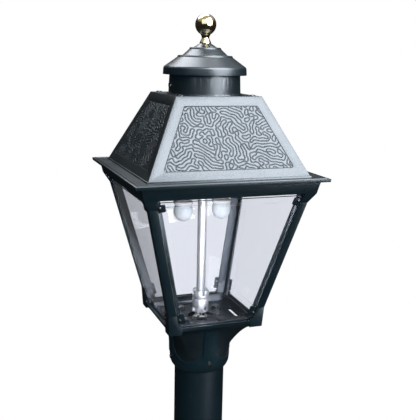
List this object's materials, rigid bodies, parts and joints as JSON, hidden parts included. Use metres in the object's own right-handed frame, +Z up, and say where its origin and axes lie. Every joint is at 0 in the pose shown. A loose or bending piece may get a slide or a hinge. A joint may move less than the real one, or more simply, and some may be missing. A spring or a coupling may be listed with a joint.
{
  "type": "post top lantern",
  "caption": "Square tapered cast gas lantern with clear glass sides, an embossed hinged roof, a round chimney with stepped cap, a ball finial and a fitter for a round post.",
  "frame": {"origin": "centre of the post fitter's mouth, on the lantern's vertical axis", "axes": "+Z up along the post and the lantern's axis, -Y towards the front of the lantern, +X to its right; the roof hinges at the back, +Y"},
  "size_m": [0.2736, 0.2736, 0.5254],
  "materials": {
    "cast_black": "satin sand cast",
    "sheet_black": "satin",
    "brass": "polished",
    "gas_brass": "machined",
    "steel": "zinc plated",
    "tube_alloy": "satin drawn",
    "ceramic": "unglazed",
    "glass": "clear tempered"
  },
  "bodies": {
    "lantern": {"post_fitter": "cast_black", "base_tray": "cast_black", "post_front_left": "cast_black", "post_front_right": "cast_black", "post_back_right": "cast_black", "post_back_left": "cast_black", "top_frame": "cast_black", "clips_front": "sheet_black", "clips_right": "sheet_black", "clips_back": "sheet_black", "clips_left": "sheet_black", "burner_bracket": "sheet_black", "inlet_fitting": "gas_brass", "gas_cock": "gas_brass", "orifice": "gas_brass", "locknuts": "gas_brass", "burner_tee": "gas_brass", "mantle_collar_left": "gas_brass", "mantle_collar_right": "gas_brass", "set_screws": "steel", "fitter_bolts": "steel", "post_foot_screws": "steel", "post_head_screws": "steel", "hinge_pins": "steel", "clip_screws": "steel", "bracket_screws": "steel", "riser_tube": "tube_alloy", "supply_pipe": "tube_alloy", "mixer_body": "tube_alloy", "tube_holder": "tube_alloy", "nozzle_left": "ceramic", "nozzle_right": "ceramic", "mantle_left": "ceramic", "mantle_right": "ceramic", "glass_front": "glass", "glass_right": "glass", "glass_back": "glass", "glass_left": "glass"},
    "roof": {"roof_casting": "cast_black", "chimney_collar": "sheet_black", "chimney_screws": "steel", "cap_bridge": "sheet_black", "bridge_screws": "steel", "tie_rod": "steel", "tie_nuts": "steel", "chimney_cap": "sheet_black", "finial": "brass"},
    "air_shutter": {"air_shutter": "tube_alloy"},
    "cock_key": {"cock_key": "gas_brass"}
  },
  "joints": [
    {"name": "roof_hinge", "type": "hinge", "parent": "lantern", "child": "roof", "pos_m": [0, 0.1326, 0.2972], "axis": [-1, 0, 0], "range_deg": [0, 100]},
    {"name": "shutter_turn", "type": "hinge", "parent": "lantern", "child": "air_shutter", "pos_m": [0, 0, 0.0962], "axis": [0, 0, 1], "range_deg": [0, 45]},
    {"name": "cock_turn", "type": "hinge", "parent": "lantern", "child": "cock_key", "pos_m": [-0.00803, -0.00892, 0.0825], "axis": [-0.6691, -0.7431, 0], "range_deg": [0, 90]}
  ]
}
